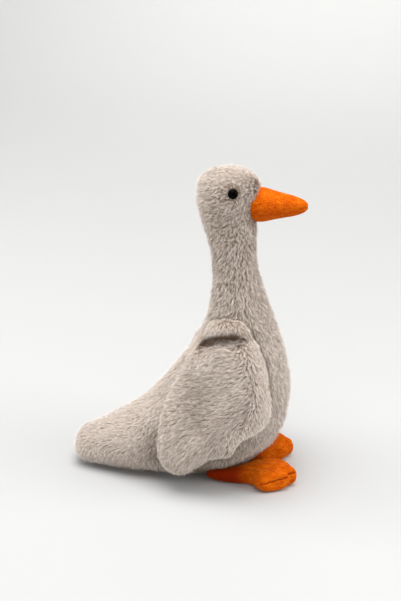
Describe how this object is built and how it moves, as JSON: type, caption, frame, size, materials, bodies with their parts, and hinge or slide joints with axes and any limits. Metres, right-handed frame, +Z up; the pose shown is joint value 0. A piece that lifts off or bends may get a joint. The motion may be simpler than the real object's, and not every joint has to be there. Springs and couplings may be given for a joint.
{
  "type": "plush goose",
  "caption": "Sitting plush goose in short beige fur, with a stuffed body and upright neck, padded wings draped at its sides, a soft cone beak and webbed feet.",
  "frame": {"origin": "on the floor, under the middle of the bounding box", "axes": "+Z up, +X the way the goose faces, +Y its left side"},
  "size_m": [0.2374, 0.1402, 0.325],
  "materials": {
    "beige_fur": "short faux fur",
    "orange_nap": "fine brushed nap",
    "black_plastic": "gloss",
    "white_plastic": "matte"
  },
  "bodies": {
    "root": {"body": "beige_fur", "wing_right": "beige_fur", "wing_left": "beige_fur", "beak": "orange_nap", "foot_right": "orange_nap", "foot_left": "orange_nap", "eye_right": "black_plastic", "eye_left": "black_plastic", "eye_washer_right": "white_plastic", "eye_washer_left": "white_plastic"}
  },
  "joints": []
}
